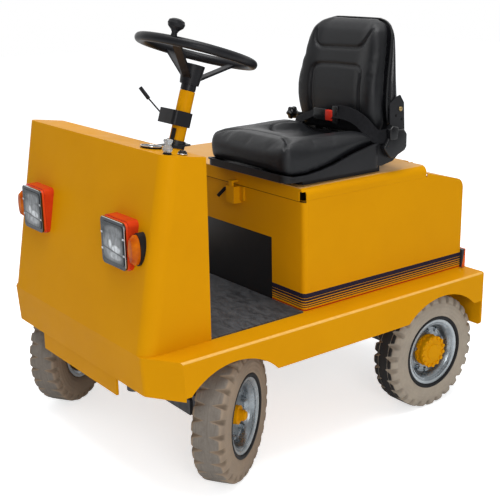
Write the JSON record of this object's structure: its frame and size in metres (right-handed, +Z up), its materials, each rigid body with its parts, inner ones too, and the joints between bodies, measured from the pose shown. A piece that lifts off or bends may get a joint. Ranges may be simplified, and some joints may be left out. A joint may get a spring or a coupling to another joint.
{
  "type": "airport baggage tug",
  "caption": "Compact four-wheel electric tow tractor with an open footwell, front cowl, tilting seat lid over the battery box, steered front wheels and a rear pin hitch.",
  "frame": {"origin": "on the ground, under the middle of the whole vehicle's bounding box", "axes": "+Z up, -Y forward, +X to the vehicle's left"},
  "size_m": [1.1462, 1.5092, 1.3961],
  "materials": {
    "yellow_paint": "semi-gloss golden yellow enamel",
    "black_paint": "satin black",
    "bare_steel": "machined steel",
    "zinc": "galvanised sheet",
    "cast_iron": "dark painted casting",
    "tyre_rubber": "beige non-marking rubber",
    "mat_rubber": "ribbed dark rubber",
    "seat_vinyl": "soft black vinyl",
    "black_plastic": "moulded black",
    "orange_plastic": "translucent orange-red",
    "lens_glass": "patterned clear lens",
    "chrome": "polished"
  },
  "bodies": {
    "chassis": {"chassis_frame": "yellow_paint", "deck_body": "yellow_paint", "rear_plate": "yellow_paint", "tow_hitch": "black_paint", "cowl_shell": "yellow_paint", "dash_bracket": "black_paint", "dash_controls": "black_plastic", "pedals": "black_paint", "floor_mat": "mat_rubber", "battery_box": "yellow_paint", "kick_panel": "black_paint", "battery": "black_plastic", "hinge_brackets": "yellow_paint", "latch": "yellow_paint", "front_axle_beam": "cast_iron", "steering_box": "cast_iron", "column_tube": "yellow_paint", "column_switch": "black_plastic", "rear_axle": "cast_iron", "rear_lamps": "orange_plastic", "headlight_housings": "orange_plastic", "headlight_frames": "chrome", "headlight_lenses": "lens_glass", "marker_bases": "black_plastic", "marker_lenses": "orange_plastic"},
    "lid": {"lid": "yellow_paint", "seat_base": "black_paint", "seat_cushion": "seat_vinyl", "seat_backrest": "seat_vinyl", "seat_back_shell": "black_plastic", "seat_belt": "black_plastic"},
    "steering_wheel": {"steering_wheel": "black_plastic", "spinner_knob": "black_plastic"},
    "knuckle_left": {"knuckle_left": "cast_iron"},
    "knuckle_right": {"knuckle_right": "cast_iron"},
    "tie_rod": {"tie_rod": "cast_iron"},
    "drag_link": {"drag_link": "cast_iron"},
    "drop_arm": {"drop_arm": "cast_iron"},
    "tow_pin": {"tow_pin": "bare_steel"},
    "wheel_front_left": {"tyre_front_left": "tyre_rubber", "rim_front_left": "zinc", "hub_front_left": "yellow_paint"},
    "wheel_front_right": {"tyre_front_right": "tyre_rubber", "rim_front_right": "zinc", "hub_front_right": "yellow_paint"},
    "wheel_rear_left": {"tyre_rear_left": "tyre_rubber", "rim_rear_left": "zinc", "hub_rear_left": "yellow_paint"},
    "wheel_rear_right": {"tyre_rear_right": "tyre_rubber", "rim_rear_right": "zinc", "hub_rear_right": "yellow_paint"}
  },
  "joints": [
    {"name": "steering_wheel_turn", "type": "hinge", "parent": "chassis", "child": "steering_wheel", "pos_m": [0.208, -0.428, 1.17603], "axis": [0, 0.3007, 0.9537], "range_deg": [-852, 60]},
    {"name": "kingpin_left", "type": "hinge", "parent": "chassis", "child": "knuckle_left", "pos_m": [0.34, -0.50396, 0.2075], "axis": [0, 0, 1], "range_deg": [-71, 5]},
    {"name": "kingpin_right", "type": "hinge", "parent": "chassis", "child": "knuckle_right", "pos_m": [-0.34, -0.50396, 0.2075], "axis": [0, 0, 1], "range_deg": [-71, 5]},
    {"name": "tie_rod_pivot", "type": "hinge", "parent": "knuckle_left", "child": "tie_rod", "pos_m": [0.28009, -0.41171, 0.17], "axis": [0, 0, 1], "range_deg": [-5, 71]},
    {"name": "drag_link_pivot", "type": "hinge", "parent": "knuckle_left", "child": "drag_link", "pos_m": [0.24081, -0.49127, 0.285], "axis": [0, 0, 1], "range_deg": [-5, 71]},
    {"name": "drop_arm_pivot", "type": "hinge", "parent": "chassis", "child": "drop_arm", "pos_m": [0.208, -0.65966, 0.285], "axis": [0, 0, 1], "range_deg": [-71, 5]},
    {"name": "lid_hinge", "type": "hinge", "parent": "chassis", "child": "lid", "pos_m": [0, 0.39196, 0.869], "axis": [-1, 0, 0], "range_deg": [0, 70]},
    {"name": "tow_pin_lift", "type": "slide", "parent": "chassis", "child": "tow_pin", "axis": [0, 0, 1], "range_m": [0, 0.11]},
    {"name": "spin_front_left", "type": "hinge", "parent": "knuckle_left", "child": "wheel_front_left", "pos_m": [0.42387, -0.4495, 0.2075], "axis": [0.8387, 0.5446, 0], "continuous": true},
    {"name": "spin_rear_left", "type": "hinge", "parent": "chassis", "child": "wheel_rear_left", "pos_m": [0.44, 0.39404, 0.2075], "axis": [1, 0, 0], "continuous": true},
    {"name": "spin_front_right", "type": "hinge", "parent": "knuckle_right", "child": "wheel_front_right", "pos_m": [-0.42387, -0.55843, 0.2075], "axis": [0.8387, 0.5446, 0], "continuous": true},
    {"name": "spin_rear_right", "type": "hinge", "parent": "chassis", "child": "wheel_rear_right", "pos_m": [-0.44, 0.39404, 0.2075], "axis": [1, 0, 0], "continuous": true}
  ],
  "couplings": [
    {"joint": "kingpin_left", "follows": "steering_wheel_turn", "ratio": 0.083333},
    {"joint": "kingpin_right", "follows": "steering_wheel_turn", "ratio": 0.083333},
    {"joint": "tie_rod_pivot", "follows": "steering_wheel_turn", "ratio": -0.083333},
    {"joint": "drag_link_pivot", "follows": "steering_wheel_turn", "ratio": -0.083333},
    {"joint": "drop_arm_pivot", "follows": "steering_wheel_turn", "ratio": 0.083333}
  ]
}
